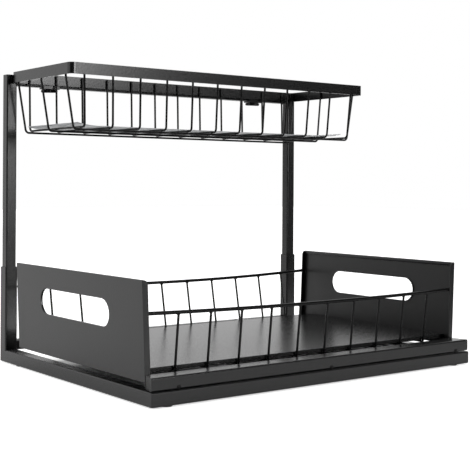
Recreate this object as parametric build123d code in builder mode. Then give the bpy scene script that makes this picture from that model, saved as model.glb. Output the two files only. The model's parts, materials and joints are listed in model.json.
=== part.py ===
from build123d import *
import math
import os

# Two-tier under sink organizer: a wire basket on posts over a pull-out drawer.
# Millimetres, +Z up, the front faces -Y. The origin is on the floor at the middle of the footprint.

# Overall frame
frame_width = 420.0
frame_depth = 315.0
foot_height = 0.9
foot_diameter = 11.0
front_foot_inset = 20.0
rear_foot_inset = 40.0
weld_gap = 0.05
sliding_fit = 0.2
outer_bend_share = 1.6
inner_bend_share = 0.6

# Base tubes
tube_height = 13.6
front_bar_depth = 13.0
rail_width = 14.4
tube_wall = 1.0
socket_depth = 14.0
socket_height = 106.5
rear_bar_depth = 10.5
rear_bar_height = 11.5
rear_bar_raise = 12.15
plug_length = 9.0
plug_recess = 0.3

# Posts and top cross bar
post_top = 319.9
post_insertion = 60.0
cross_bar_height = 11.2
cross_bar_depth = 9.7
cross_bar_set_back = 1.4
cap_thickness = 0.8
cap_spigot = 6.0

# Shelf ring, brackets and thumb screws
ring_side_inset = 6.3
ring_depth = 136.8
ring_height = 11.8
ring_rise = 3.2
ring_thickness = 2.0
ring_corner = 5.8
bracket_width = 20.0
bracket_thickness = 1.5
bracket_spacing = 295.0
bracket_shift = -6.4
screw_shank = 5.0
screw_shank_length = 9.0
screw_boss = 7.0
screw_boss_height = 3.2
wing_span = 19.0
wing_height = 3.4
wing_thickness = 1.8
wing_gap = 0.1
left_wing_turn = -37.0
right_wing_turn = -15.0

# Basket wires
basket_wire = 2.3
basket_drop = 64.9
basket_wire_count = 12
basket_wire_margin = 20.55
basket_bend = 4.5
basket_end_bend = 20.0
basket_front_taper = 3.4
basket_rear_taper = 1.6
front_fan_share = 0.014
basket_side_taper = 9.4
wire_top_drop = 1.0
wire_stub = 12.0
long_wire_front_inset = 15.7
long_wire_rear_inset = 11.0
long_wire_lean = 5.0

# Basket liner
liner_sheet = 0.6
liner_end_margin = 11.4
liner_flat_margin = 45.4
liner_shift = -6.0
liner_curl_radius = 105.0
liner_curl = 13.6

# Drawer side plates
plate_thickness = 1.2
plate_foot_inset = 5.5
plate_rear_gap = 24.0
plate_bottom = 20.2
plate_height = 92.6
plate_lean = 2.3
flange_width = 6.0
flange_corner = 4.7
hem_height = 3.7
slot_front_margin = 61.0
slot_rear_margin = 55.0
slot_height = 27.2
slot_centre_height = 56.4
lip_depth = 1.2
lip_thickness = 0.9

# Drawer floor
floor_top = 30.9
floor_thickness = 1.2
floor_front_gap = 11.2
floor_rear_gap = 15.5
floor_flange = 4.0

# Drawer wires and rails
drawer_wire = 2.4
drawer_wire_count = 10
drawer_wire_margin = 38.0
drawer_wire_overhang = 6.5
drawer_bend = 2.4
rail_diameter = 3.6
front_rail_height = 79.4
front_rail_sag = 2.7
rear_rail_height = 81.7
rear_rail_sag = 5.0
rail_end_gap = 0.3

# Drawer front bar and its rivet heads
drawer_bar_inset = 0.4
drawer_bar_set_back = 1.0
drawer_bar_depth = 18.4
drawer_bar_height = 12.3
bar_gap = 0.7
bar_rivet_head = 3.6
bar_rivet_proud = 0.5
bar_rivet_raise = 1.5
bar_rivet_pitch = 185.0
bar_rivet_shift = 4.9

# Slides, two-member ball bearing, standing on edge
slide_pitches = 3
slide_width = 11.0
slide_height = 14.0
slide_sheet = 1.0
slide_lip = 0.8
outer_top_gap = 0.5
outer_front_gap = 0.3
outer_rear_gap = 0.2
inner_height = 6.6
inner_lip = 0.7
inner_front_gap = 0.6
inner_rear_gap = 15.6
ball_diameter = 2.5
ball_play = 0.1
ball_count = 7
ball_pitch = 9.0
cage_sheet = 0.5
cage_end = 5.0
cage_end_play = 1.8
drawer_travel = 200.0
cage_web_gap = 0.5

# Slide brackets, rivets and screws
runner_sheet = 1.2
runner_flange = 11.0
runner_end_gap = 0.2
runner_foot_gap = 0.3
arm_length = 34.0
arm_sheet = 1.2
arm_foot = 16.0
rivet_diameter = 3.0
rivet_head = 5.4
rivet_head_height = 1.2
rivet_inset = 10.0
rivet_pitch = 14.0
screw_diameter = 2.8
screw_head = 5.0
screw_head_height = 1.6
screw_end = 0.5
screw_count = 3
screw_pitch = 100.0
hole_play = 0.05

# Places worked out from the sizes above
half_width = frame_width / 2
front_y = -frame_depth / 2
rear_y = frame_depth / 2
base_top = foot_height + tube_height
bar_rear_y = front_y + front_bar_depth
rail_x = half_width - rail_width / 2
socket_y = rear_y - socket_depth / 2
post_width = rail_width - 2 * tube_wall - 2 * sliding_fit
post_depth = socket_depth - 2 * tube_wall - 2 * sliding_fit
rear_bar_front_y = rear_y - rear_bar_depth
rear_bar_bottom = foot_height + rear_bar_raise
cross_bar_bottom = post_top - cross_bar_height
cross_bar_front_y = socket_y - post_depth / 2 + cross_bar_set_back
cross_bar_y = cross_bar_front_y + cross_bar_depth / 2
ring_width = frame_width - 2 * ring_side_inset
ring_top = post_top + ring_rise
ring_rear_y = cross_bar_front_y - bracket_thickness
ring_front_y = ring_rear_y - ring_depth
ring_middle_y = ring_rear_y - ring_depth / 2
left_bracket_x = bracket_shift - bracket_spacing / 2
right_bracket_x = bracket_shift + bracket_spacing / 2
ring_bottom = ring_top - ring_height
basket_wire_pitch = (ring_width - 2 * basket_wire_margin) / (basket_wire_count - 1)
basket_wire_z = ring_top - basket_drop
basket_front_y = ring_front_y + ring_thickness + weld_gap + basket_wire / 2
basket_rear_y = ring_rear_y - ring_thickness - weld_gap - basket_wire / 2
basket_side_x = ring_width / 2 - ring_thickness - weld_gap - basket_wire / 2
basket_wire_top = ring_top - wire_top_drop
basket_stub_z = ring_top - wire_stub
long_wire_z = basket_wire_z - basket_wire - weld_gap
liner_z = basket_wire_z + basket_wire / 2 + weld_gap + liner_sheet / 2
liner_flat_width = ring_width - 2 * liner_flat_margin
plate_foot_width = frame_width - 2 * plate_foot_inset
plate_front = front_y + drawer_bar_set_back + drawer_bar_depth
plate_rear = rear_y - socket_depth - plate_rear_gap
plate_length = plate_rear - plate_front
slot_length = plate_length - slot_front_margin - slot_rear_margin
slot_centre_y = plate_front + slot_front_margin + slot_length / 2
lean_sin = math.sin(math.radians(plate_lean))
lean_cos = math.cos(math.radians(plate_lean))
lean_tan = math.tan(math.radians(plate_lean))
plate_side = plate_height / lean_cos
floor_front = plate_front + floor_front_gap
floor_rear = plate_rear - floor_rear_gap
floor_bottom = floor_top - floor_thickness
floor_skirt_bottom = floor_top - floor_flange
drawer_wire_pitch = (plate_foot_width - 2 * drawer_wire_margin) / (drawer_wire_count - 1)
drawer_wire_z = floor_skirt_bottom - drawer_wire / 2 - weld_gap
front_rail_y = plate_front + plate_thickness + weld_gap + rail_diameter / 2
rear_rail_y = plate_rear + weld_gap + rail_diameter / 2
drawer_bar_width = frame_width - 2 * drawer_bar_inset
drawer_bar_slant = drawer_bar_width / 2 - plate_foot_width / 2
drawer_bar_bottom = base_top + bar_gap
drawer_bar_y = plate_front - drawer_bar_depth / 2
slide_outboard = slide_pitches * drawer_wire_pitch + slide_width / 2
slide_top = floor_skirt_bottom - outer_top_gap
slide_bottom = slide_top - slide_height
slide_middle_z = slide_top - slide_height / 2
outer_front_y = plate_front + outer_front_gap
outer_rear_y = rear_bar_front_y - arm_sheet - outer_rear_gap
inner_front_y = plate_front + inner_front_gap
inner_rear = outer_rear_y - inner_rear_gap
race_gap = slide_height / 2 - slide_sheet - inner_height / 2
ball_z = inner_height / 2 + race_gap / 2
runner_inner_u = slide_width
runner_outer_u = slide_width - runner_sheet
inner_web_u = runner_outer_u - slide_sheet
cage_web_u = slide_sheet + cage_web_gap
inner_lip_u = cage_web_u + cage_sheet + cage_web_gap
ball_u = inner_lip_u + slide_sheet + ball_play + ball_diameter / 2
outer_lip_u = ball_u + ball_diameter / 2 + ball_play
cage_length = (ball_count - 1) * ball_pitch + 2 * cage_end
cage_centre_y = outer_front_y + cage_length / 2 + drawer_travel / 2 + cage_end_play


def wall_inset(side, height):
    """Distance from the middle plane to a side plate's inner face at a height."""
    outer = plate_foot_width / 2 + (height - plate_bottom) * lean_tan
    return side * (outer - plate_thickness / lean_cos)


def corner_mitre(side):
    """Upright plane of the mitre between the base front bar and a rail, facing the bar."""
    return Plane(origin=(side * half_width, front_y, 0), z_dir=(-side * front_bar_depth, -rail_width, 0))


def bar_end(side, recess):
    """Upright plane of the drawer bar's slanted end, facing outwards."""
    return Plane(
        origin=(side * (drawer_bar_width / 2 - recess), drawer_bar_y - drawer_bar_depth / 2, 0),
        z_dir=(side * drawer_bar_depth, drawer_bar_slant, 0),
    )


def bow(place_x, half_span, sag):
    """Height of a bowed rail above its middle, at a distance from the middle plane."""
    radius = (half_span**2 + sag**2) / (2 * sag)
    return radius - math.sqrt(radius**2 - place_x**2)


def tube_profile(across, up, wall):
    """Section of a square tube, round at the corners."""
    RectangleRounded(across, up, outer_bend_share * wall)
    RectangleRounded(across - 2 * wall, up - 2 * wall, inner_bend_share * wall, mode=Mode.SUBTRACT)


def keep(part, name):
    """Name a finished piece and write it."""
    part.label = name
    export_step(part, "parts/" + name + ".step")


def cross_tube(length, across, up, wall, centre_y, centre_z):
    """A tube that lies along X."""
    with BuildPart() as tube:
        with BuildSketch(Plane.YZ.offset(-length / 2)):
            with Locations((centre_y, centre_z)):
                tube_profile(across, up, wall)
        extrude(amount=length)
    return tube


def bent_wire(plane, points, radii, diameter):
    """A round wire bent along straight runs and arcs."""
    with BuildPart() as wire:
        with BuildLine(plane) as path:
            FilletPolyline(*points, radius=radii)
        with BuildSketch(Plane(origin=path.line @ 0, z_dir=path.line % 0)):
            Circle(diameter / 2)
        sweep()
    return wire.part


os.makedirs("parts", exist_ok=True)

# Feet
with BuildPart() as feet:
    with BuildSketch(Plane.XY):
        with Locations(
            (-half_width + front_foot_inset, front_y + front_bar_depth / 2),
            (half_width - front_foot_inset, front_y + front_bar_depth / 2),
            (-rail_x, rear_y - rear_foot_inset),
            (rail_x, rear_y - rear_foot_inset),
        ):
            Circle(foot_diameter / 2)
    extrude(amount=foot_height)
keep(feet.part, "feet")

# Base front bar, mitred at both ends, and raised rear bar
front_tube = cross_tube(
    frame_width,
    front_bar_depth,
    tube_height,
    tube_wall,
    front_y + front_bar_depth / 2,
    foot_height + tube_height / 2,
)
with BuildPart() as base_front_bar:
    add(front_tube.part)
    for side in (-1, 1):
        split(bisect_by=corner_mitre(side), keep=Keep.TOP)
keep(base_front_bar.part, "base_front_bar")

base_rear_bar = cross_tube(
    frame_width - 2 * rail_width,
    rear_bar_depth,
    rear_bar_height,
    tube_wall,
    rear_y - rear_bar_depth / 2,
    rear_bar_bottom + rear_bar_height / 2,
)
keep(base_rear_bar.part, "base_rear_bar")

# Side rails and post sockets, mitred together at the bottom rear corner
# and to the front bar at the front corner
mitre = Plane(origin=(0, rear_y, foot_height), z_dir=(0, tube_height, socket_depth))
for name, side in (("left", -1), ("right", 1)):
    with BuildPart() as rail:
        with BuildSketch(Plane.XZ.offset(-front_y)):
            with Locations((side * rail_x, foot_height + tube_height / 2)):
                tube_profile(rail_width, tube_height, tube_wall)
        extrude(amount=-frame_depth)
        split(bisect_by=mitre, keep=Keep.BOTTOM)
        split(bisect_by=corner_mitre(side), keep=Keep.BOTTOM)
    keep(rail.part, name + "_rail")

    with BuildPart() as socket:
        with BuildSketch(Plane.XY.offset(foot_height)):
            with Locations((side * rail_x, socket_y)):
                tube_profile(rail_width, socket_depth, tube_wall)
        extrude(amount=socket_height - foot_height)
        split(bisect_by=mitre, keep=Keep.TOP)
    keep(socket.part, name + "_socket")

    with BuildPart() as post:
        with BuildSketch(Plane.XY.offset(socket_height - post_insertion)):
            with Locations((side * rail_x, socket_y)):
                tube_profile(post_width, post_depth, tube_wall)
        extrude(amount=post_top - socket_height + post_insertion)
    keep(post.part, name + "_post")

# Top cross bar between the posts, with a hole for each thumb screw
with BuildPart() as top_cross_bar:
    with BuildSketch(Plane.YZ.offset(-(rail_x - post_width / 2))):
        with Locations((cross_bar_y, cross_bar_bottom + cross_bar_height / 2)):
            tube_profile(cross_bar_depth, cross_bar_height, tube_wall)
    extrude(amount=2 * rail_x - post_width)
    with BuildSketch(Plane.XY.offset(cross_bar_bottom)):
        with Locations((left_bracket_x, cross_bar_y), (right_bracket_x, cross_bar_y)):
            Circle(screw_shank / 2 + hole_play)
    extrude(amount=2 * tube_wall, mode=Mode.SUBTRACT)
keep(top_cross_bar.part, "top_cross_bar")

# Caps on the posts
with BuildPart() as post_caps:
    for side in (-1, 1):
        with BuildSketch(Plane.XY.offset(post_top)):
            with Locations((side * rail_x, socket_y)):
                RectangleRounded(post_width, post_depth, outer_bend_share * tube_wall)
        extrude(amount=cap_thickness)
        with BuildSketch(Plane.XY.offset(post_top)):
            with Locations((side * rail_x, socket_y)):
                RectangleRounded(
                    post_width - 2 * tube_wall - weld_gap,
                    post_depth - 2 * tube_wall - weld_gap,
                    outer_bend_share * tube_wall,
                )
        extrude(amount=-cap_spigot)
keep(post_caps.part, "post_caps")

# Shelf ring, one flat band bent into a rounded rectangle
with BuildPart() as shelf_ring:
    with BuildSketch(Plane.XY.offset(ring_bottom)):
        with Locations((0, ring_middle_y)):
            RectangleRounded(ring_width, ring_depth, ring_corner)
            RectangleRounded(
                ring_width - 2 * ring_thickness,
                ring_depth - 2 * ring_thickness,
                ring_corner - ring_thickness,
                mode=Mode.SUBTRACT,
            )
    extrude(amount=ring_height)
keep(shelf_ring.part, "shelf_ring")

# Angle brackets between the ring's rear band and the cross bar
with BuildPart() as shelf_brackets:
    for bracket_x in (left_bracket_x, right_bracket_x):
        with BuildSketch(Plane.YZ.offset(bracket_x)):
            with BuildLine():
                Polyline(
                    (ring_rear_y, cross_bar_bottom - bracket_thickness),
                    (cross_bar_y + cross_bar_depth / 2, cross_bar_bottom - bracket_thickness),
                    (cross_bar_y + cross_bar_depth / 2, cross_bar_bottom),
                    (ring_rear_y + bracket_thickness, cross_bar_bottom),
                    (ring_rear_y + bracket_thickness, post_top),
                    (ring_rear_y, post_top),
                    close=True,
                )
            make_face()
        extrude(amount=bracket_width / 2, both=True)
    with BuildSketch(Plane.XY.offset(cross_bar_bottom - bracket_thickness)):
        with Locations((left_bracket_x, cross_bar_y), (right_bracket_x, cross_bar_y)):
            Circle(screw_shank / 2 + hole_play)
    extrude(amount=bracket_thickness, mode=Mode.SUBTRACT)
keep(shelf_brackets.part, "shelf_brackets")

# Thumb screws, driven up through the brackets into the cross bar
screw_seat = cross_bar_bottom - bracket_thickness
with BuildPart() as thumb_screws:
    for screw_x, turn in ((left_bracket_x, left_wing_turn), (right_bracket_x, right_wing_turn)):
        seat = Plane(
            origin=(screw_x, cross_bar_y, screw_seat),
            x_dir=(math.cos(math.radians(turn)), math.sin(math.radians(turn)), 0),
            z_dir=(0, 0, -1),
        )
        with BuildSketch(seat):
            Circle(screw_boss / 2)
        extrude(amount=screw_boss_height)
        with BuildSketch(seat):
            Circle(screw_shank / 2)
        extrude(amount=-screw_shank_length)
        wing_plane = Plane(origin=seat.origin, x_dir=seat.x_dir, z_dir=seat.y_dir)
        with BuildSketch(wing_plane):
            with Locations((0, -wing_gap - wing_height / 2)):
                SlotOverall(wing_span, wing_height)
        extrude(amount=wing_thickness / 2, both=True)
keep(thumb_screws.part, "thumb_screws")

# Basket cross wires, from the front band down under the liner and up to the rear band
for index in range(basket_wire_count):
    wire_x = (index - (basket_wire_count - 1) / 2) * basket_wire_pitch
    fan = front_fan_share * wire_x
    cross_wire = bent_wire(
        Plane.YZ.offset(wire_x),
        (
            (basket_front_y, basket_wire_top, fan),
            (basket_front_y, basket_stub_z, fan),
            (basket_front_y + basket_front_taper, basket_wire_z, 0),
            (basket_rear_y - basket_rear_taper, basket_wire_z, 0),
            (basket_rear_y, basket_stub_z, 0),
            (basket_rear_y, basket_wire_top, 0),
        ),
        (basket_end_bend, basket_bend, basket_bend, basket_end_bend),
        basket_wire,
    )
    keep(cross_wire, "basket_cross_wire_" + str(index + 1))

# Basket long wires, under the cross wires
long_wire_places = (
    ring_front_y + long_wire_front_inset,
    (ring_front_y + long_wire_front_inset + ring_rear_y - long_wire_rear_inset) / 2,
    ring_rear_y - long_wire_rear_inset,
)
with BuildPart() as basket_long_wires:
    for wire_y, lean in zip(long_wire_places, (0, long_wire_lean, long_wire_lean)):
        add(
            bent_wire(
                Plane.XZ.offset(-wire_y),
                (
                    (-basket_side_x, basket_wire_top, 0),
                    (-basket_side_x, basket_stub_z, 0),
                    (-basket_side_x + basket_side_taper, long_wire_z, 0),
                    (basket_side_x - basket_side_taper, long_wire_z, 0),
                    (basket_side_x, basket_stub_z, -lean),
                    (basket_side_x, basket_wire_top, -lean),
                ),
                (basket_end_bend, basket_bend, basket_bend, basket_end_bend),
                basket_wire,
            )
        )
keep(basket_long_wires.part, "basket_long_wires")

# Liner sheet that lies on the cross wires, its two ends curled up
with BuildPart() as basket_liner:
    with BuildSketch(Plane.XZ.offset(-(ring_front_y + liner_end_margin))):
        with BuildLine():
            flat = Line(
                (liner_shift - liner_flat_width / 2, liner_z), (liner_shift + liner_flat_width / 2, liner_z)
            )
            JernArc(flat @ 1, flat % 1, liner_curl_radius, liner_curl)
            JernArc(flat @ 0, (-1, 0), liner_curl_radius, -liner_curl)
        trace(line_width=liner_sheet)
    extrude(amount=-(ring_depth - 2 * liner_end_margin))
keep(basket_liner.part, "basket_liner")

# Drawer side plates, with folded ends, a hemmed top and a lipped hand slot
for name, side in (("left", -1), ("right", 1)):
    plate_foot = (side * plate_foot_width / 2, 0, plate_bottom)
    up_wall = (side * lean_sin, 0, lean_cos)
    out_of_wall = (side * lean_cos, 0, -lean_sin)
    # On the plan plane the inward direction is +Y for the right plate and -Y for the left one
    plan = Plane(origin=plate_foot, x_dir=(0, 1, 0), z_dir=up_wall)
    wall = Plane(origin=plate_foot, x_dir=(0, 1, 0), z_dir=out_of_wall)
    up = side
    with BuildPart() as side_plate:
        with BuildSketch(plan):
            with BuildLine():
                Polyline(
                    (plate_front, up * flange_width),
                    (plate_front, 0),
                    (plate_rear, 0),
                    (plate_rear, up * flange_width),
                    (plate_rear - plate_thickness, up * flange_width),
                    (plate_rear - plate_thickness, up * plate_thickness),
                    (plate_front + plate_thickness, up * plate_thickness),
                    (plate_front + plate_thickness, up * flange_width),
                    close=True,
                )
            make_face()
        extrude(amount=plate_side)
        top_edges = side_plate.edges().filter_by(Axis.Y).filter_by(
            lambda edge: edge.length < 2 * plate_thickness
        )
        fillet(top_edges.group_by(Axis.Z)[-1], radius=flange_corner)
        with BuildSketch(wall):
            with Locations(((plate_front + plate_rear) / 2, up * (plate_side - hem_height / 2))):
                Rectangle(plate_length - 2 * plate_thickness, hem_height)
        extrude(amount=-2 * plate_thickness)
        with BuildSketch(wall):
            with Locations((slot_centre_y, up * slot_centre_height)):
                SlotOverall(slot_length + 2 * lip_thickness, slot_height + 2 * lip_thickness)
        extrude(amount=-(plate_thickness + lip_depth))
        with BuildSketch(wall):
            with Locations((slot_centre_y, up * slot_centre_height)):
                SlotOverall(slot_length, slot_height)
        extrude(amount=-(plate_thickness + lip_depth), mode=Mode.SUBTRACT)
    keep(side_plate.part, name + "_side_plate")

# Drawer floor, its front and rear edges turned down
floor_half = wall_inset(1, floor_skirt_bottom) - weld_gap
with BuildPart() as floor_panel:
    with BuildSketch(Plane.YZ.offset(-floor_half)):
        with BuildLine():
            Polyline(
                (floor_front, floor_skirt_bottom),
                (floor_front, floor_top),
                (floor_rear, floor_top),
                (floor_rear, floor_skirt_bottom),
                (floor_rear - floor_thickness, floor_skirt_bottom),
                (floor_rear - floor_thickness, floor_bottom),
                (floor_front + floor_thickness, floor_bottom),
                (floor_front + floor_thickness, floor_skirt_bottom),
                close=True,
            )
        make_face()
    extrude(amount=2 * floor_half)
keep(floor_panel.part, "floor_panel")

# Front and rear rails, bowed down in the middle
front_rail_half = wall_inset(1, front_rail_height) - rail_end_gap
rear_rail_half = wall_inset(1, rear_rail_height) - rail_end_gap
for name, rail_y, rail_half, rail_height, rail_sag in (
    ("front", front_rail_y, front_rail_half, front_rail_height, front_rail_sag),
    ("rear", rear_rail_y, rear_rail_half, rear_rail_height, rear_rail_sag),
):
    with BuildPart() as drawer_rail:
        with BuildLine(Plane.XZ.offset(-rail_y)) as bow_line:
            ThreePointArc(
                (-rail_half, rail_height + rail_sag),
                (0, rail_height),
                (rail_half, rail_height + rail_sag),
            )
        with BuildSketch(Plane(origin=bow_line.line @ 0, z_dir=bow_line.line % 0)):
            Circle(rail_diameter / 2)
        sweep()
    keep(drawer_rail.part, name + "_rail")

# Drawer wires, under the floor from rail to rail
for index in range(drawer_wire_count):
    wire_x = (index - (drawer_wire_count - 1) / 2) * drawer_wire_pitch
    below_rail = rail_diameter / 2 + weld_gap
    front_top = front_rail_height + bow(wire_x, front_rail_half, front_rail_sag) - below_rail
    rear_top = rear_rail_height + bow(wire_x, rear_rail_half, rear_rail_sag) - below_rail
    drawer_u = bent_wire(
        Plane.YZ.offset(wire_x),
        (
            (front_rail_y, front_top),
            (floor_front - drawer_bend, drawer_wire_z),
            (floor_rear + drawer_wire_overhang, drawer_wire_z),
            (rear_rail_y, rear_top),
        ),
        (drawer_bend, drawer_bend),
        drawer_wire,
    )
    keep(drawer_u, "drawer_wire_" + str(index + 1))

# Drawer front bar, its ends slanted back to the side plates, and its end plugs
drawer_tube = cross_tube(
    drawer_bar_width,
    drawer_bar_depth,
    drawer_bar_height,
    tube_wall,
    drawer_bar_y,
    drawer_bar_bottom + drawer_bar_height / 2,
)
with BuildPart() as drawer_front_bar:
    add(drawer_tube.part)
    for side in (-1, 1):
        split(bisect_by=bar_end(side, 0), keep=Keep.BOTTOM)
keep(drawer_front_bar.part, "drawer_front_bar")

with BuildPart() as drawer_bar_plugs:
    for side in (-1, 1):
        with BuildSketch(Plane.YZ.offset(side * (drawer_bar_width / 2 - plug_recess))):
            with Locations((drawer_bar_y, drawer_bar_bottom + drawer_bar_height / 2)):
                RectangleRounded(
                    drawer_bar_depth - 2 * tube_wall - weld_gap,
                    drawer_bar_height - 2 * tube_wall - weld_gap,
                    outer_bend_share * tube_wall,
                )
        extrude(amount=-side * plug_length)
        split(bisect_by=bar_end(side, plug_recess), keep=Keep.BOTTOM)
keep(drawer_bar_plugs.part, "drawer_bar_plugs")

# Rivet heads low on the drawer front bar's face
with BuildPart() as bar_rivets:
    with BuildSketch(Plane.XZ.offset(drawer_bar_depth / 2 - drawer_bar_y)):
        with Locations(
            (bar_rivet_shift - bar_rivet_pitch, drawer_bar_bottom + bar_rivet_raise),
            (bar_rivet_shift, drawer_bar_bottom + bar_rivet_raise),
            (bar_rivet_shift + bar_rivet_pitch, drawer_bar_bottom + bar_rivet_raise),
        ):
            Circle(bar_rivet_head / 2)
    extrude(amount=bar_rivet_proud)
keep(bar_rivets.part, "bar_rivets")


def slide_plane(side, place_y):
    """Section plane of a slide: X runs inboard from its outboard face, Y up from its middle."""
    return Plane(
        origin=(side * slide_outboard, place_y, slide_middle_z), x_dir=(-side, 0, 0), z_dir=(0, side, 0)
    )


def channel(web_start, web_end, reach, half_height, sheet, lip):
    """Section of a lipped channel. A positive lip points outwards, a negative one inwards."""
    towards = 1 if reach > web_end else -1
    middle = (web_start + web_end) / 2
    with Locations((middle, 0)):
        Rectangle(web_end - web_start, 2 * half_height)
    far_web = web_start if towards > 0 else web_end
    with Locations(
        ((far_web + reach) / 2, half_height - sheet / 2),
        ((far_web + reach) / 2, -half_height + sheet / 2),
    ):
        Rectangle(abs(reach - far_web), sheet)
    lip_z = half_height + lip / 2 if lip > 0 else half_height - sheet + lip / 2
    with Locations((reach - towards * sheet / 2, lip_z), (reach - towards * sheet / 2, -lip_z)):
        Rectangle(sheet, abs(lip))


# Slides: outer member on the base, inner member on the drawer, a ball cage between them
for name, side in (("left", -1), ("right", 1)):
    with BuildPart() as slide_outer:
        with BuildSketch(slide_plane(side, outer_front_y)):
            channel(0, slide_sheet, outer_lip_u + slide_sheet, slide_height / 2, slide_sheet, -slide_lip)
        extrude(amount=side * (outer_rear_y - outer_front_y))
        with BuildSketch(Plane.YZ.offset(side * slide_outboard)):
            with Locations(
                (outer_front_y + rivet_inset, slide_middle_z),
                (outer_front_y + rivet_inset + rivet_pitch, slide_middle_z),
                (outer_rear_y - rivet_inset, slide_middle_z),
                (outer_rear_y - rivet_inset - rivet_pitch, slide_middle_z),
            ):
                Circle(rivet_diameter / 2 + hole_play)
        extrude(amount=-side * slide_sheet, mode=Mode.SUBTRACT)
    keep(slide_outer.part, name + "_slide_outer")

    with BuildPart() as slide_inner:
        with BuildSketch(slide_plane(side, inner_front_y)):
            channel(inner_web_u, runner_outer_u, inner_lip_u, inner_height / 2, slide_sheet, inner_lip)
        extrude(amount=side * (inner_rear - inner_front_y))
        with BuildSketch(Plane.YZ.offset(side * (slide_outboard - inner_web_u))):
            with Locations((0, slide_middle_z)):
                with GridLocations(screw_pitch, 0, screw_count, 1):
                    Circle(screw_diameter / 2 + hole_play)
        extrude(amount=-side * slide_sheet, mode=Mode.SUBTRACT)
    keep(slide_inner.part, name + "_slide_inner")

    with BuildPart() as ball_cage:
        with BuildSketch(slide_plane(side, cage_centre_y - cage_length / 2)):
            with Locations((cage_web_u + cage_sheet / 2, 0)):
                Rectangle(cage_sheet, 2 * ball_z + cage_sheet)
            arm = outer_lip_u + slide_sheet - cage_web_u
            with Locations((cage_web_u + arm / 2, ball_z), (cage_web_u + arm / 2, -ball_z)):
                Rectangle(arm, cage_sheet)
        extrude(amount=side * cage_length)
        with BuildSketch(Plane.XY.offset(slide_bottom)):
            with Locations((side * (slide_outboard - ball_u), cage_centre_y)):
                with GridLocations(0, ball_pitch, 1, ball_count):
                    Circle(ball_diameter / 2 + ball_play)
        extrude(amount=slide_height, mode=Mode.SUBTRACT)
    keep(ball_cage.part, name + "_ball_cage")

    with BuildPart() as balls:
        with Locations(
            (side * (slide_outboard - ball_u), cage_centre_y, slide_middle_z + ball_z),
            (side * (slide_outboard - ball_u), cage_centre_y, slide_middle_z - ball_z),
        ):
            with GridLocations(0, ball_pitch, 1, ball_count):
                Sphere(ball_diameter / 2)
    keep(balls.part, name + "_balls")

    # Angle that hangs the drawer's floor on the inner member
    runner_foot = slide_middle_z - inner_height / 2 + runner_foot_gap
    runner_front = floor_front + floor_thickness + runner_end_gap
    runner_rear = floor_rear - floor_thickness - runner_end_gap
    with BuildPart() as runner_bracket:
        with BuildSketch(slide_plane(side, runner_front)):
            top = floor_bottom - slide_middle_z
            foot = runner_foot - slide_middle_z
            with BuildLine():
                Polyline(
                    (runner_outer_u, foot),
                    (runner_outer_u, top),
                    (runner_outer_u + runner_flange, top),
                    (runner_outer_u + runner_flange, top - runner_sheet),
                    (runner_inner_u, top - runner_sheet),
                    (runner_inner_u, foot),
                    close=True,
                )
            make_face()
        extrude(amount=side * (runner_rear - runner_front))
        with BuildSketch(Plane.YZ.offset(side * (slide_outboard - runner_outer_u))):
            with Locations((0, slide_middle_z)):
                with GridLocations(screw_pitch, 0, screw_count, 1):
                    Circle(screw_diameter / 2 + hole_play)
        extrude(amount=-side * runner_sheet, mode=Mode.SUBTRACT)
    keep(runner_bracket.part, name + "_runner_bracket")

# Screws that hold the runner brackets to the inner members
with BuildPart() as runner_screws:
    for side in (-1, 1):
        with BuildSketch(Plane.YZ.offset(side * (slide_outboard - runner_inner_u))):
            with Locations((0, slide_middle_z)):
                with GridLocations(screw_pitch, 0, screw_count, 1):
                    Circle(screw_diameter / 2)
        extrude(amount=side * (runner_sheet + slide_sheet + screw_end))
        with BuildSketch(Plane.YZ.offset(side * (slide_outboard - runner_inner_u))):
            with Locations((0, slide_middle_z)):
                with GridLocations(screw_pitch, 0, screw_count, 1):
                    Circle(screw_head / 2)
        extrude(amount=-side * screw_head_height)
keep(runner_screws.part, "runner_screws")

# Arms that carry the outer members, on the front bar's rear face and the rear bar's front face
front_arm_rear_y = bar_rear_y + arm_length
rear_arm_front_y = rear_bar_front_y - arm_length
front_arm_bottom = foot_height + outer_bend_share * tube_wall
with BuildPart() as slide_arms:
    for side in (-1, 1):
        with BuildSketch(Plane.YZ.offset(side * slide_outboard)):
            with BuildLine():
                Polyline(
                    (bar_rear_y, front_arm_bottom),
                    (front_arm_rear_y, front_arm_bottom),
                    (front_arm_rear_y, slide_top - slide_sheet),
                    (outer_front_y, slide_top - slide_sheet),
                    (outer_front_y, base_top),
                    (bar_rear_y, base_top),
                    close=True,
                )
            make_face()
        extrude(amount=side * arm_sheet)
        with BuildSketch(Plane.XZ.offset(-bar_rear_y)):
            with Locations(
                (side * (slide_outboard + arm_foot / 2), (front_arm_bottom + base_top) / 2)
            ):
                Rectangle(arm_foot, base_top - front_arm_bottom)
        extrude(amount=-arm_sheet)
        with BuildSketch(Plane.YZ.offset(side * slide_outboard)):
            with Locations(
                ((rear_arm_front_y + rear_bar_front_y) / 2, (rear_bar_bottom + slide_top - slide_sheet) / 2)
            ):
                Rectangle(arm_length, slide_top - slide_sheet - rear_bar_bottom)
        extrude(amount=side * arm_sheet)
        with BuildSketch(Plane.XZ.offset(-rear_bar_front_y)):
            with Locations(
                (side * (slide_outboard + arm_foot / 2), (rear_bar_bottom + slide_top - slide_sheet) / 2)
            ):
                Rectangle(arm_foot, slide_top - slide_sheet - rear_bar_bottom)
        extrude(amount=arm_sheet)
        with BuildSketch(Plane.YZ.offset(side * slide_outboard)):
            with Locations(
                (outer_front_y + rivet_inset, slide_middle_z),
                (outer_front_y + rivet_inset + rivet_pitch, slide_middle_z),
                (outer_rear_y - rivet_inset, slide_middle_z),
                (outer_rear_y - rivet_inset - rivet_pitch, slide_middle_z),
            ):
                Circle(rivet_diameter / 2 + hole_play)
        extrude(amount=side * arm_sheet, mode=Mode.SUBTRACT)
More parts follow.
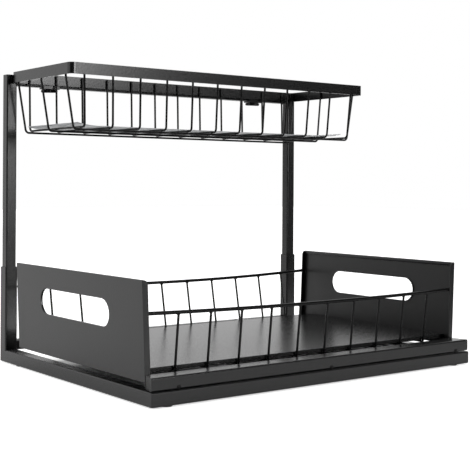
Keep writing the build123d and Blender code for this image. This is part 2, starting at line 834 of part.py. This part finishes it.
keep(slide_arms.part, "slide_arms")

# Rivets through the arms and the outer members' webs
with BuildPart() as slide_rivets:
    for side in (-1, 1):
        for rivet_y in (
            outer_front_y + rivet_inset,
            outer_front_y + rivet_inset + rivet_pitch,
            outer_rear_y - rivet_inset,
            outer_rear_y - rivet_inset - rivet_pitch,
        ):
            with BuildSketch(Plane.YZ.offset(side * (slide_outboard + arm_sheet))):
                with Locations((rivet_y, slide_middle_z)):
                    Circle(rivet_diameter / 2)
            extrude(amount=-side * (arm_sheet + slide_sheet))
            with BuildSketch(Plane.YZ.offset(side * (slide_outboard + arm_sheet))):
                with Locations((rivet_y, slide_middle_z)):
                    Circle(rivet_head / 2)
            extrude(amount=side * rivet_head_height)
keep(slide_rivets.part, "slide_rivets")
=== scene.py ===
import json
import math

import bmesh
import bpy
from mathutils import Matrix, Vector, noise


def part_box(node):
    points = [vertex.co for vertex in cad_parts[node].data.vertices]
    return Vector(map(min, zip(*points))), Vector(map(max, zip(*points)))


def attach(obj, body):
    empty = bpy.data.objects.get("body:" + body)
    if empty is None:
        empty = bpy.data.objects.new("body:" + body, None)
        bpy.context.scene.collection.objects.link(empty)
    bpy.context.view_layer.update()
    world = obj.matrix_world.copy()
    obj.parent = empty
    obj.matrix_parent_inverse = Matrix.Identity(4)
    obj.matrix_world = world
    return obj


# Under sink organizer: looks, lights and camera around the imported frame. Metres.

# Camera, from the photograph's two vanishing points
CAMERA_PLACE = (-0.7143, -0.9471, 0.1979)
CAMERA_AIM = (0.602, 0.7985, 0.0)
CAMERA_LENS = 81.09
CAMERA_SENSOR = 36.0
CAMERA_SHIFT_Y = -0.104
CAMERA_ROLL = math.radians(0.325)
CAMERA_FAR = 20.0

# Light from around: white behind, dimmer at the left, dark in front, with one soft box in front.
# An edge is how nearly a direction points at its side where the light starts and ends changing.
WORLD_BACK = 1.0
LEFT_SIDE = (-1.0, 0.0, 0.0)
LEFT_EDGE = (0.5, 0.74)
LEFT_LEVEL = 0.27
DARK_SIDE = (math.cos(math.radians(-85.0)), math.sin(math.radians(-85.0)), 0.0)
DARK_EDGE = (-0.1, 0.4)
DARK_LEVEL = 0.06
BRIGHT_SIDE = (0.27, -0.93, 0.25)
BRIGHT_EDGE = (0.955, 0.99)
BRIGHT_LEVEL = 12.0

# Lamp at the left rear
LAMP_PLACE = (-2.0, 0.6, 1.2)
LAMP_AIM = (0.0, 0.0, 0.15)
LAMP_SIZE = 1.4
LAMP_POWER = 14.0

# The white floor ends just outside the camera's view, so shiny fronts don't see it far away
FLOOR_CORNERS = (
    (-6.0, -0.48),
    (0.1, -0.48),
    (0.6, -0.2),
    (6.0, 4.3),
    (6.0, 7.0),
    (-6.0, 7.0),
)
FLOOR_COLOUR = (0.9, 0.9, 0.9, 1.0)
FLOOR_ROUGHNESS = 0.9
FLOOR_GLOW = 0.24
FLOOR_SEEN = 0.5
# Painted shade under the object: the floor doesn't glow there, so it is darker; axis, middle and reach of that
# patch, and its soft edge
FLOOR_PAINTED_SHADE = (("X", 0.0, 0.2), ("Y", -0.01, 0.14))
FLOOR_PAINTED_SHADE_EDGE = 0.01

WHITE = (1.0, 1.0, 1.0, 1.0)

# Middle range of a noise, which a ramp spreads out
NOISE_LOW = 0.3
NOISE_HIGH = 0.7

# Powder coat
COAT_IOR = 1.5
COAT_DARK = (0.85, 0.85, 0.87)
COAT_LIGHT = (1.15, 1.15, 1.18)
COAT_CLOUD_SCALE = 18.0
COAT_GRAIN_SCALE = 900.0
COAT_ROUGHNESS_PLAY = 0.04
COAT_PEEL_DETAIL = 3.0
COAT_PEEL_DEPTH = 0.0002
COAT_EDGE_SAMPLES = 4

# Moulded plastic and rubber
PLASTIC_DARK = (0.8, 0.8, 0.8)
PLASTIC_LIGHT = (1.2, 1.2, 1.2)
PLASTIC_DETAIL = 4.0
PLASTIC_ROUGHNESS_PLAY = 0.06
PLASTIC_BUMP = 0.15

# Plated steel
STEEL_DARK = (0.9, 0.91, 0.93)
STEEL_LIGHT = (1.05, 1.05, 1.06)
STEEL_MARK_SCALE = 700.0
STEEL_ROUGHNESS_LESS = 0.05
STEEL_ROUGHNESS_MORE = 0.08

# Frosted liner
LINER_TRANSMISSION = 0.7
LINER_IOR = 1.45
LINER_DARK = (0.52, 0.53, 0.54)
LINER_LIGHT = (0.62, 0.63, 0.64)
LINER_CLOUD_SCALE = 30.0
LINER_GRAIN_SCALE = 500.0
LINER_ROUGHNESS = (0.35, 0.5)
LINER_BUMP = 0.2

FINE_BUMP_DEPTH = 0.0001

# Weld beads: a ripple on a ball's surface, shifted from bead to bead
BEAD_SUBDIVISIONS = 3
BEAD_RIPPLE = 0.16
BEAD_RIPPLE_SCALE = 2.6
BEAD_RIPPLE_SHIFT = Vector((1.7, 0.9, 0.0))

# Basket wires' welds: each end has a bead near the ring's top and one near its bottom
BASKET_WIRE_COUNT = 12
BASKET_WIRE_RADIUS = 0.00115
BASKET_WELD_INSET = 0.0002
LONG_WIRE_LEAN = 0.005
# Drop from the wire's top, and half sizes along the ring, across it and upright
BASKET_BEADS = (
    (0.0022, (0.0019, 0.0009, 0.0021)),
    (0.0082, (0.0018, 0.0008, 0.0018)),
)

# Drawer wires' welds, below the sagging rails, and the rails' welds on the side plates
DRAWER_WIRE_COUNT = 10
FRONT_RAIL_SAG = 0.0027
REAR_RAIL_SAG = 0.005
DRAWER_WELD_INSET = 0.0003
DRAWER_BEAD = (0.0019, 0.0016, 0.0011)
RAIL_END_INSET = 0.0008
RAIL_END_DROP = 0.0018
RAIL_END_BEAD = (0.0014, 0.0028, 0.0028)

# Frame seams: a row of beads down an upright seam, and along one under the cross bar
SEAM_MARGIN = 0.0016
SEAM_FRONT_INSET = 0.0003
SEAM_UNDER_INSET = 0.0002
UPRIGHT_SEAM_COUNT = 5
UPRIGHT_SEAM_BEAD = (0.0012, 0.0009, 0.0016)
UNDER_SEAM_COUNT = 4
UNDER_SEAM_BEAD = (0.0012, 0.0018, 0.0009)

# Rolled hem along the top of a side plate
PLATE_FOLD = 0.006
PLATE_TWO_SHEETS = 0.0024
HEM_END_MARGIN = 0.0055
HEM_MIDDLE_DROP = 0.0021
HEM_HALF_HEIGHT = 0.0018
HEM_BULGE = 0.0011
HEM_SINK = 0.0002
HEM_ACROSS = 18
HEM_LENGTHS = 16
# Distance from the end, and share of the full roll there
HEM_ENDS = ((0.0, 0.1), (0.0003, 0.5), (0.0008, 0.75), (0.0016, 0.92))
HEM_FULL_FROM = 0.0026

# Rivet heads: a shallow dome inside a rolled rim
DOME_HALF_SIZE = (0.00135, 0.00035, 0.00135)
RIM_RADIUS = 0.00153
RIM_THICKNESS = 0.00026
RIM_AROUND = 48
RIM_ACROSS = 12

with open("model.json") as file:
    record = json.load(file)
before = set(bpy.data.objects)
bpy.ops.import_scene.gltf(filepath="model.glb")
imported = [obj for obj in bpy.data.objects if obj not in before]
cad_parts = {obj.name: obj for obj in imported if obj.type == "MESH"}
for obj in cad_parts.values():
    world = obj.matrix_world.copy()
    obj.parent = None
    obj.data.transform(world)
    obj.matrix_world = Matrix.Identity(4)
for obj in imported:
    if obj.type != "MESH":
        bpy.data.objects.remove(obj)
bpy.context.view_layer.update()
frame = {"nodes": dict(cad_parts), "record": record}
nodes = frame["nodes"]


def new_material(name):
    material = bpy.data.materials.new(name)
    material.use_nodes = True
    return material, material.node_tree.nodes, material.node_tree.links


def object_noise(tree_nodes, tree_links, scale, detail=2.0):
    """Noise fixed to the object's own coordinates."""
    place = tree_nodes.new("ShaderNodeTexCoord")
    texture = tree_nodes.new("ShaderNodeTexNoise")
    texture.inputs["Scale"].default_value = scale
    texture.inputs["Detail"].default_value = detail
    tree_links.new(place.outputs["Object"], texture.inputs["Vector"])
    return texture.outputs["Fac"]


def vary_colour(tree_nodes, tree_links, shader, source, low, high):
    """Base colour between low and high by a noise."""
    mix = tree_nodes.new("ShaderNodeMix")
    mix.data_type = "RGBA"
    mix.inputs["A"].default_value = (*low, 1.0)
    mix.inputs["B"].default_value = (*high, 1.0)
    tree_links.new(source, mix.inputs["Factor"])
    tree_links.new(mix.outputs["Result"], shader.inputs["Base Color"])


def vary_roughness(tree_nodes, tree_links, shader, source, low, high):
    """Roughness between low and high by a noise's middle range."""
    ramp = tree_nodes.new("ShaderNodeMapRange")
    ramp.inputs["From Min"].default_value = NOISE_LOW
    ramp.inputs["From Max"].default_value = NOISE_HIGH
    ramp.inputs["To Min"].default_value = low
    ramp.inputs["To Max"].default_value = high
    tree_links.new(source, ramp.inputs["Value"])
    tree_links.new(ramp.outputs["Result"], shader.inputs["Roughness"])


def bump_surface(tree_nodes, tree_links, shader, source, strength, depth):
    bump = tree_nodes.new("ShaderNodeBump")
    bump.inputs["Strength"].default_value = strength
    bump.inputs["Distance"].default_value = depth
    tree_links.new(source, bump.inputs["Height"])
    tree_links.new(bump.outputs["Normal"], shader.inputs["Normal"])
    return bump


def tinted(colour, tint):
    return tuple(colour * share for share in tint)


def powder_coat(name, colour, roughness, peel_scale, peel, edge=0.0004, shine=0.5):
    """Black powder coat: fine orange peel, slight cloudiness, rounded edges."""
    material, tree_nodes, tree_links = new_material(name)
    shader = tree_nodes["Principled BSDF"]
    shader.inputs["IOR"].default_value = COAT_IOR
    shader.inputs["Specular IOR Level"].default_value = shine
    cloud = object_noise(tree_nodes, tree_links, COAT_CLOUD_SCALE)
    dark, light = tinted(colour, COAT_DARK), tinted(colour, COAT_LIGHT)
    vary_colour(tree_nodes, tree_links, shader, cloud, dark, light)
    grain = object_noise(tree_nodes, tree_links, COAT_GRAIN_SCALE)
    smooth, rough = roughness - COAT_ROUGHNESS_PLAY, roughness + COAT_ROUGHNESS_PLAY
    vary_roughness(tree_nodes, tree_links, shader, grain, smooth, rough)
    peel_noise = object_noise(tree_nodes, tree_links, peel_scale, COAT_PEEL_DETAIL)
    edge_round = tree_nodes.new("ShaderNodeBevel")
    edge_round.samples = COAT_EDGE_SAMPLES
    edge_round.inputs["Radius"].default_value = edge
    bump = bump_surface(tree_nodes, tree_links, shader, peel_noise, peel, COAT_PEEL_DEPTH)
    tree_links.new(edge_round.outputs["Normal"], bump.inputs["Normal"])
    return material


def plain_plastic(name, colour, roughness, grain_scale):
    """Moulded plastic or rubber with a fine grain."""
    material, tree_nodes, tree_links = new_material(name)
    shader = tree_nodes["Principled BSDF"]
    grain = object_noise(tree_nodes, tree_links, grain_scale, PLASTIC_DETAIL)
    dark, light = tinted(colour, PLASTIC_DARK), tinted(colour, PLASTIC_LIGHT)
    vary_colour(tree_nodes, tree_links, shader, grain, dark, light)
    smooth, rough = roughness - PLASTIC_ROUGHNESS_PLAY, roughness + PLASTIC_ROUGHNESS_PLAY
    vary_roughness(tree_nodes, tree_links, shader, grain, smooth, rough)
    bump_surface(tree_nodes, tree_links, shader, grain, PLASTIC_BUMP, FINE_BUMP_DEPTH)
    return material


def plated_steel(name, colour, roughness, stretch):
    """Zinc plated or polished steel with fine rolling marks along Y."""
    material, tree_nodes, tree_links = new_material(name)
    shader = tree_nodes["Principled BSDF"]
    shader.inputs["Metallic"].default_value = 1.0
    place = tree_nodes.new("ShaderNodeTexCoord")
    scaled = tree_nodes.new("ShaderNodeMapping")
    scaled.inputs["Scale"].default_value = (1.0, stretch, 1.0)
    tree_links.new(place.outputs["Object"], scaled.inputs["Vector"])
    marks = tree_nodes.new("ShaderNodeTexNoise")
    marks.inputs["Scale"].default_value = STEEL_MARK_SCALE
    tree_links.new(scaled.outputs["Vector"], marks.inputs["Vector"])
    dark, light = tinted(colour, STEEL_DARK), tinted(colour, STEEL_LIGHT)
    vary_colour(tree_nodes, tree_links, shader, marks.outputs["Fac"], dark, light)
    smooth, rough = roughness - STEEL_ROUGHNESS_LESS, roughness + STEEL_ROUGHNESS_MORE
    vary_roughness(tree_nodes, tree_links, shader, marks.outputs["Fac"], smooth, rough)
    return material


def frosted_liner(name):
    """Thin frosted plastic sheet that lets part of the light through."""
    material, tree_nodes, tree_links = new_material(name)
    shader = tree_nodes["Principled BSDF"]
    shader.inputs["Transmission Weight"].default_value = LINER_TRANSMISSION
    shader.inputs["IOR"].default_value = LINER_IOR
    cloud = object_noise(tree_nodes, tree_links, LINER_CLOUD_SCALE)
    vary_colour(tree_nodes, tree_links, shader, cloud, LINER_DARK, LINER_LIGHT)
    grain = object_noise(tree_nodes, tree_links, LINER_GRAIN_SCALE)
    vary_roughness(tree_nodes, tree_links, shader, grain, *LINER_ROUGHNESS)
    bump_surface(tree_nodes, tree_links, shader, grain, LINER_BUMP, FINE_BUMP_DEPTH)
    return material


finishes = {
    "black_tube": powder_coat(
        "black_tube_coat", colour=0.005, roughness=0.24, peel_scale=420.0, peel=0.2, shine=0.46
    ),
    "black_band": powder_coat(
        "black_band_coat", colour=0.005, roughness=0.2, peel_scale=420.0, peel=0.15, shine=0.57
    ),
    "black_wire": powder_coat(
        "black_wire_coat", colour=0.003, roughness=0.24, peel_scale=700.0, peel=0.12, edge=0.0002, shine=0.2
    ),
    "black_sheet": powder_coat(
        "black_sheet_coat", colour=0.007, roughness=0.32, peel_scale=520.0, peel=0.2, edge=0.0009
    ),
    "black_floor": powder_coat(
        "black_floor_coat", colour=0.007, roughness=0.26, peel_scale=380.0, peel=0.1
    ),
    "black_plastic": plain_plastic("black_plastic_moulded", colour=0.006, roughness=0.4, grain_scale=300.0),
    "black_hardware": powder_coat(
        "black_hardware_coat", colour=0.003, roughness=0.3, peel_scale=600.0, peel=0.2, edge=0.0008, shine=0.15
    ),
    "rubber_pad": plain_plastic("rubber_pad_matte", colour=0.025, roughness=0.75, grain_scale=500.0),
    "clear_liner": frosted_liner("frosted_liner_sheet"),
    "zinc_steel": plated_steel("zinc_steel_rolled", colour=0.55, roughness=0.32, stretch=0.04),
    "zinc_fastener": plated_steel("zinc_fastener_plated", colour=0.55, roughness=0.3, stretch=1.0),
    "polished_ball": plated_steel("polished_ball_steel", colour=0.72, roughness=0.12, stretch=1.0),
    "cage_steel": plated_steel("cage_steel_pressed", colour=0.45, roughness=0.35, stretch=0.1),
}
for part in frame["record"]["subparts"]:
    target = nodes[part["node"]]
    for material_slot in target.material_slots:
        material_slot.material = finishes[part["material_slot"]]


def node_box(name):
    """Lowest and highest corner of a node, as vectors."""
    low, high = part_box(name)
    return Vector(low), Vector(high)


def end_of(low, high, side):
    """The box's X at its left end for side -1, or at its right end for side 1."""
    return high.x if side > 0 else low.x


def add_piece(name, build, body, slot):
    """A smooth piece from a built mesh, in a slot's finish, that rides on a body."""
    for face in build.faces:
        face.smooth = True
    mesh = bpy.data.meshes.new(name)
    build.to_mesh(mesh)
    build.free()
    mesh.materials.append(finishes[slot])
    piece = bpy.data.objects.new(name, mesh)
    bpy.context.scene.collection.objects.link(piece)
    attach(piece, body)


def add_beads(name, body, slot, places):
    """Rippled lumps, each at a place with half sizes, in one piece."""
    build = bmesh.new()
    for index, (place, half) in enumerate(places):
        lump = bmesh.ops.create_icosphere(build, subdivisions=BEAD_SUBDIVISIONS, radius=1.0)["verts"]
        for vert in lump:
            spot = vert.co * BEAD_RIPPLE_SCALE + index * BEAD_RIPPLE_SHIFT
            ripple = 1.0 + BEAD_RIPPLE * noise.noise(spot)
            vert.co = Vector(place) + Vector([vert.co[axis] * half[axis] * ripple for axis in range(3)])
    add_piece(name, build, body, slot)


def skin_rings(build, rings):
    """Faces from each ring of verts to the next one."""
    for here, there in zip(rings, rings[1:]):
        for step in range(len(here)):
            after = (step + 1) % len(here)
            build.faces.new((here[step], there[step], there[after], here[after]))


def basket_welds():
    """Beads where the basket wires meet the ring's inner face."""
    places = []
    for index in range(1, BASKET_WIRE_COUNT + 1):
        low, high = node_box("basket_cross_wire_%d" % index)
        # The wires on the left lean one way, those on the right the other
        ends_x = (low.x + BASKET_WIRE_RADIUS, high.x - BASKET_WIRE_RADIUS)
        front_x, rear_x = ends_x if low.x + high.x < 0.0 else reversed(ends_x)
        for end_x, end_y in (
            (front_x, low.y + BASKET_WELD_INSET),
            (rear_x, high.y - BASKET_WELD_INSET),
        ):
            for drop, half in BASKET_BEADS:
                places.append(((end_x, end_y, high.z - drop), half))
    low, high = node_box("basket_long_wires")
    for end_x in (low.x + BASKET_WELD_INSET, high.x - BASKET_WELD_INSET):
        # At the right end the middle and rear wires lean back
        lean = 0.0 if end_x < 0.0 else LONG_WIRE_LEAN
        front_y = low.y + BASKET_WIRE_RADIUS
        middle_y = (low.y + high.y - LONG_WIRE_LEAN) / 2 + lean
        rear_y = high.y - BASKET_WIRE_RADIUS - LONG_WIRE_LEAN + lean
        for end_y in (front_y, middle_y, rear_y):
            for drop, (along, across, upright) in BASKET_BEADS:
                places.append(((end_x, end_y, high.z - drop), (across, along, upright)))
    add_beads("basket_weld_beads", "base", "black_wire", places)


def drawer_welds():
    """Beads where the drawer's wires meet its rails, and the rails meet the side plates."""
    places = []
    front_low, front_high = node_box("front_rail")
    rear_low, rear_high = node_box("rear_rail")
    front_y = (front_low.y + front_high.y) / 2
    rear_y = (rear_low.y + rear_high.y) / 2
    for index in range(1, DRAWER_WIRE_COUNT + 1):
        low, high = node_box("drawer_wire_%d" % index)
        wire_x = (low.x + high.x) / 2
        share = (wire_x / front_high.x) ** 2
        front_z = front_low.z + share * FRONT_RAIL_SAG
        rear_z = rear_low.z + share * REAR_RAIL_SAG
        places.append(((wire_x, front_y + DRAWER_WELD_INSET, front_z), DRAWER_BEAD))
        places.append(((wire_x, rear_y - DRAWER_WELD_INSET, rear_z), DRAWER_BEAD))
    for side in (-1, 1):
        for low, high, rail_y in ((front_low, front_high, front_y), (rear_low, rear_high, rear_y)):
            end_x = end_of(low, high, side) - side * RAIL_END_INSET
            places.append(((end_x, rail_y, high.z - RAIL_END_DROP), RAIL_END_BEAD))
    add_beads("drawer_weld_beads", "drawer", "black_wire", places)


def seam_steps(low, high, count):
    """Evenly spaced places between two ends, a margin away from both."""
    reach = high - low - 2 * SEAM_MARGIN
    return [low + SEAM_MARGIN + step * reach / (count - 1) for step in range(count)]


def frame_welds():
    """Seams at the ends of the top cross bar and of the base's rear bar."""
    places = []
    bar_low, bar_high = node_box("top_cross_bar")
    rear_low, rear_high = node_box("base_rear_bar")
    for side in (-1, 1):
        end_x = end_of(bar_low, bar_high, side)
        for seam_z in seam_steps(bar_low.z, bar_high.z, UPRIGHT_SEAM_COUNT):
            places.append(((end_x, bar_low.y + SEAM_FRONT_INSET, seam_z), UPRIGHT_SEAM_BEAD))
        for seam_y in seam_steps(bar_low.y, bar_high.y, UNDER_SEAM_COUNT):
            places.append(((end_x, seam_y, bar_low.z + SEAM_UNDER_INSET), UNDER_SEAM_BEAD))
        end_x = end_of(rear_low, rear_high, side)
        for seam_z in seam_steps(rear_low.z, rear_high.z, UPRIGHT_SEAM_COUNT):
            places.append(((end_x, rear_low.y + SEAM_FRONT_INSET, seam_z), UPRIGHT_SEAM_BEAD))
    add_beads("frame_weld_beads", "base", "black_tube", places)


def hem_stations(front, rear):
    """Places along the hem with the share of the full roll there, rounded off at both ends."""
    flat_front, flat_rear = front + HEM_FULL_FROM, rear - HEM_FULL_FROM
    stations = [(front + step, share) for step, share in HEM_ENDS]
    for step in range(HEM_LENGTHS + 1):
        stations.append((flat_front + (flat_rear - flat_front) * step / HEM_LENGTHS, 1.0))
    stations += [(rear - step, share) for step, share in reversed(HEM_ENDS)]
    return stations


def hem_rolls():
    """The rolled hem along the inner top edge of each side plate."""
    build = bmesh.new()
    for side, name in ((-1, "left_side_plate"), (1, "right_side_plate")):
        low, high = node_box(name)
        outer = max(abs(low.x), abs(high.x))
        foot = min(abs(low.x), abs(high.x)) + PLATE_FOLD
        lean = math.atan2(outer - foot, high.z - low.z)
        upward = Vector((side * math.sin(lean), 0.0, math.cos(lean)))
        inward = Vector((-side * math.cos(lean), 0.0, math.sin(lean)))
        edge = Vector((side * outer, 0.0, high.z - PLATE_FOLD * math.sin(lean)))
        edge += inward * PLATE_TWO_SHEETS
        rings = []
        for place_y, share in hem_stations(low.y + HEM_END_MARGIN, high.y - HEM_END_MARGIN):
            place = edge + Vector((0.0, place_y, 0.0)) - upward * HEM_MIDDLE_DROP
            half = HEM_HALF_HEIGHT * share
            outline = []
            for step in range(HEM_ACROSS + 1):
                turn = math.pi * step / HEM_ACROSS
                outline.append((half * math.cos(turn), HEM_BULGE * share * math.sin(turn)))
            outline += [(-half, -HEM_SINK), (half, -HEM_SINK)]
            rings.append([build.verts.new(place + upward * up + inward * out) for up, out in outline])
        skin_rings(build, rings)
        build.faces.new(rings[0])
        build.faces.new(list(reversed(rings[-1])))
    bmesh.ops.recalc_face_normals(build, faces=build.faces)
    add_piece("plate_hem_rolls", build, "drawer", "black_sheet")


def rivet_heads():
    """A shallow dome inside a rolled rim on each rivet head of the drawer's bar."""
    low, high = node_box("bar_rivets")
    radius = (high.z - low.z) / 2
    centre_z = (low.z + high.z) / 2
    centres = [(x, low.y, centre_z) for x in (low.x + radius, (low.x + high.x) / 2, high.x - radius)]
    domes = [(centre, DOME_HALF_SIZE) for centre in centres]
    add_beads("rivet_head_domes", "drawer", "black_hardware", domes)
    build = bmesh.new()
    for centre in centres:
        rings = []
        for turn in range(RIM_AROUND):
            angle = 2 * math.pi * turn / RIM_AROUND
            ring = []
            for step in range(RIM_ACROSS):
                tilt = 2 * math.pi * step / RIM_ACROSS
                reach = RIM_RADIUS + RIM_THICKNESS * math.cos(tilt)
                away = (reach * math.cos(angle), RIM_THICKNESS * math.sin(tilt), reach * math.sin(angle))
                ring.append(build.verts.new(Vector(centre) + Vector(away)))
            rings.append(ring)
        skin_rings(build, rings + rings[:1])
    bmesh.ops.recalc_face_normals(build, faces=build.faces)
    add_piece("rivet_head_rims", build, "drawer", "black_hardware")


def make_camera():
    data = bpy.data.cameras.new("photo_camera")
    data.sensor_width = CAMERA_SENSOR
    data.lens = CAMERA_LENS
    data.shift_y = CAMERA_SHIFT_Y
    data.clip_end = CAMERA_FAR
    camera = bpy.data.objects.new("photo_camera", data)
    bpy.context.scene.collection.objects.link(camera)
    turn = Vector(CAMERA_AIM).to_track_quat("-Z", "Y").to_matrix().to_4x4()
    camera.matrix_world = Matrix.Translation(CAMERA_PLACE) @ turn @ Matrix.Rotation(CAMERA_ROLL, 4, "Z")
    bpy.context.scene.camera = camera


def side_share(tree_nodes, tree_links, direction, side, edge, low, high):
    """Low away from a side, high towards it, with a soft edge."""
    towards = tree_nodes.new("ShaderNodeVectorMath")
    towards.operation = "DOT_PRODUCT"
    towards.inputs[1].default_value = side
    tree_links.new(direction, towards.inputs[0])
    share = tree_nodes.new("ShaderNodeMapRange")
    share.interpolation_type = "SMOOTHSTEP"
    share.inputs["From Min"].default_value = edge[0]
    share.inputs["From Max"].default_value = edge[1]
    share.inputs["To Min"].default_value = low
    share.inputs["To Max"].default_value = high
    tree_links.new(towards.outputs["Value"], share.inputs["Value"])
    return share.outputs["Result"]


def joined(tree_nodes, tree_links, operation, first, second):
    """A maths node over an output and another output or a number."""
    node = tree_nodes.new("ShaderNodeMath")
    node.operation = operation
    tree_links.new(first, node.inputs[0])
    if isinstance(second, float):
        node.inputs[1].default_value = second
    else:
        tree_links.new(second, node.inputs[1])
    return node.outputs["Value"]


def make_world():
    """White for the camera; the object sees white behind, a dark front and a soft box in it."""
    world = bpy.data.worlds.new("studio")
    bpy.context.scene.world = world
    world.use_nodes = True
    tree_nodes, tree_links = world.node_tree.nodes, world.node_tree.links
    background = tree_nodes["Background"]
    background.inputs["Color"].default_value = WHITE
    direction = tree_nodes.new("ShaderNodeTexCoord").outputs["Generated"]
    dark = side_share(tree_nodes, tree_links, direction, DARK_SIDE, DARK_EDGE, WORLD_BACK, DARK_LEVEL)
    bright = side_share(tree_nodes, tree_links, direction, BRIGHT_SIDE, BRIGHT_EDGE, 0.0, BRIGHT_LEVEL)
    left = side_share(tree_nodes, tree_links, direction, LEFT_SIDE, LEFT_EDGE, 1.0, LEFT_LEVEL)
    around = joined(tree_nodes, tree_links, "MULTIPLY", dark, left)
    around = joined(tree_nodes, tree_links, "ADD", around, bright)
    rays = tree_nodes.new("ShaderNodeLightPath")
    seen = joined(
        tree_nodes, tree_links, "MAXIMUM", rays.outputs["Is Camera Ray"], rays.outputs["Is Transmission Ray"]
    )
    unseen = tree_nodes.new("ShaderNodeMapRange")
    unseen.inputs["To Min"].default_value = 1.0
    unseen.inputs["To Max"].default_value = 0.0
    tree_links.new(seen, unseen.inputs["Value"])
    lit = joined(tree_nodes, tree_links, "MULTIPLY", around, unseen.outputs["Result"])
    level = joined(tree_nodes, tree_links, "ADD", lit, seen)
    tree_links.new(level, background.inputs["Strength"])


def outside_painted_shade(tree_nodes, tree_links, coordinate, middle, reach):
    """Zero near the middle of an axis and one beyond its reach; it masks the floor's painted shade."""
    shifted = joined(tree_nodes, tree_links, "SUBTRACT", coordinate, middle)
    size = tree_nodes.new("ShaderNodeMath")
    size.operation = "ABSOLUTE"
    tree_links.new(shifted, size.inputs[0])
    outside = tree_nodes.new("ShaderNodeMapRange")
    outside.inputs["From Min"].default_value = reach - FLOOR_PAINTED_SHADE_EDGE
    outside.inputs["From Max"].default_value = reach + FLOOR_PAINTED_SHADE_EDGE
    tree_links.new(size.outputs["Value"], outside.inputs["Value"])
    return outside.outputs["Result"]


def make_floor():
    """A white floor that keeps the object's shadow, with painted shade under the object where its glow is
    switched off.
    """
    mesh = bpy.data.meshes.new("studio_floor")
    mesh.from_pydata([(x, y, 0.0) for x, y in FLOOR_CORNERS], [], [tuple(range(len(FLOOR_CORNERS)))])
    floor = bpy.data.objects.new("studio_floor", mesh)
    bpy.context.scene.collection.objects.link(floor)
    material, tree_nodes, tree_links = new_material("studio_floor_white")
    shader = tree_nodes["Principled BSDF"]
    shader.inputs["Base Color"].default_value = FLOOR_COLOUR
    shader.inputs["Roughness"].default_value = FLOOR_ROUGHNESS
    shader.inputs["Specular IOR Level"].default_value = 0.0
    shader.inputs["Emission Color"].default_value = WHITE
    place = tree_nodes.new("ShaderNodeTexCoord")
    across = tree_nodes.new("ShaderNodeSeparateXYZ")
    tree_links.new(place.outputs["Object"], across.inputs["Vector"])
    sides = [
        outside_painted_shade(tree_nodes, tree_links, across.outputs[axis], middle, reach)
        for axis, middle, reach in FLOOR_PAINTED_SHADE
    ]
    # clear is one outside the patch of painted shade and zero in it, so the floor's glow leaves that patch
    # dark
    clear = joined(tree_nodes, tree_links, "MAXIMUM", *sides)
    rays = tree_nodes.new("ShaderNodeLightPath")
    seen = joined(tree_nodes, tree_links, "MULTIPLY", rays.outputs["Is Camera Ray"], FLOOR_SEEN)
    seen = joined(tree_nodes, tree_links, "ADD", seen, FLOOR_GLOW)
    glow = joined(tree_nodes, tree_links, "MULTIPLY", clear, seen)
    tree_links.new(glow, shader.inputs["Emission Strength"])
    mesh.materials.append(material)


def make_lamp():
    data = bpy.data.lights.new("key_left", "AREA")
    data.shape = "RECTANGLE"
    data.size = LAMP_SIZE
    data.size_y = LAMP_SIZE
    data.energy = LAMP_POWER
    lamp = bpy.data.objects.new("key_left", data)
    lamp.location = LAMP_PLACE
    aim = Vector(LAMP_AIM) - Vector(LAMP_PLACE)
    lamp.rotation_euler = aim.to_track_quat("-Z", "Y").to_euler()
    bpy.context.scene.collection.objects.link(lamp)


basket_welds()
drawer_welds()
frame_welds()
rivet_heads()
hem_rolls()
make_camera()
make_world()
make_floor()
make_lamp()
bpy.context.scene.view_settings.view_transform = "Standard"
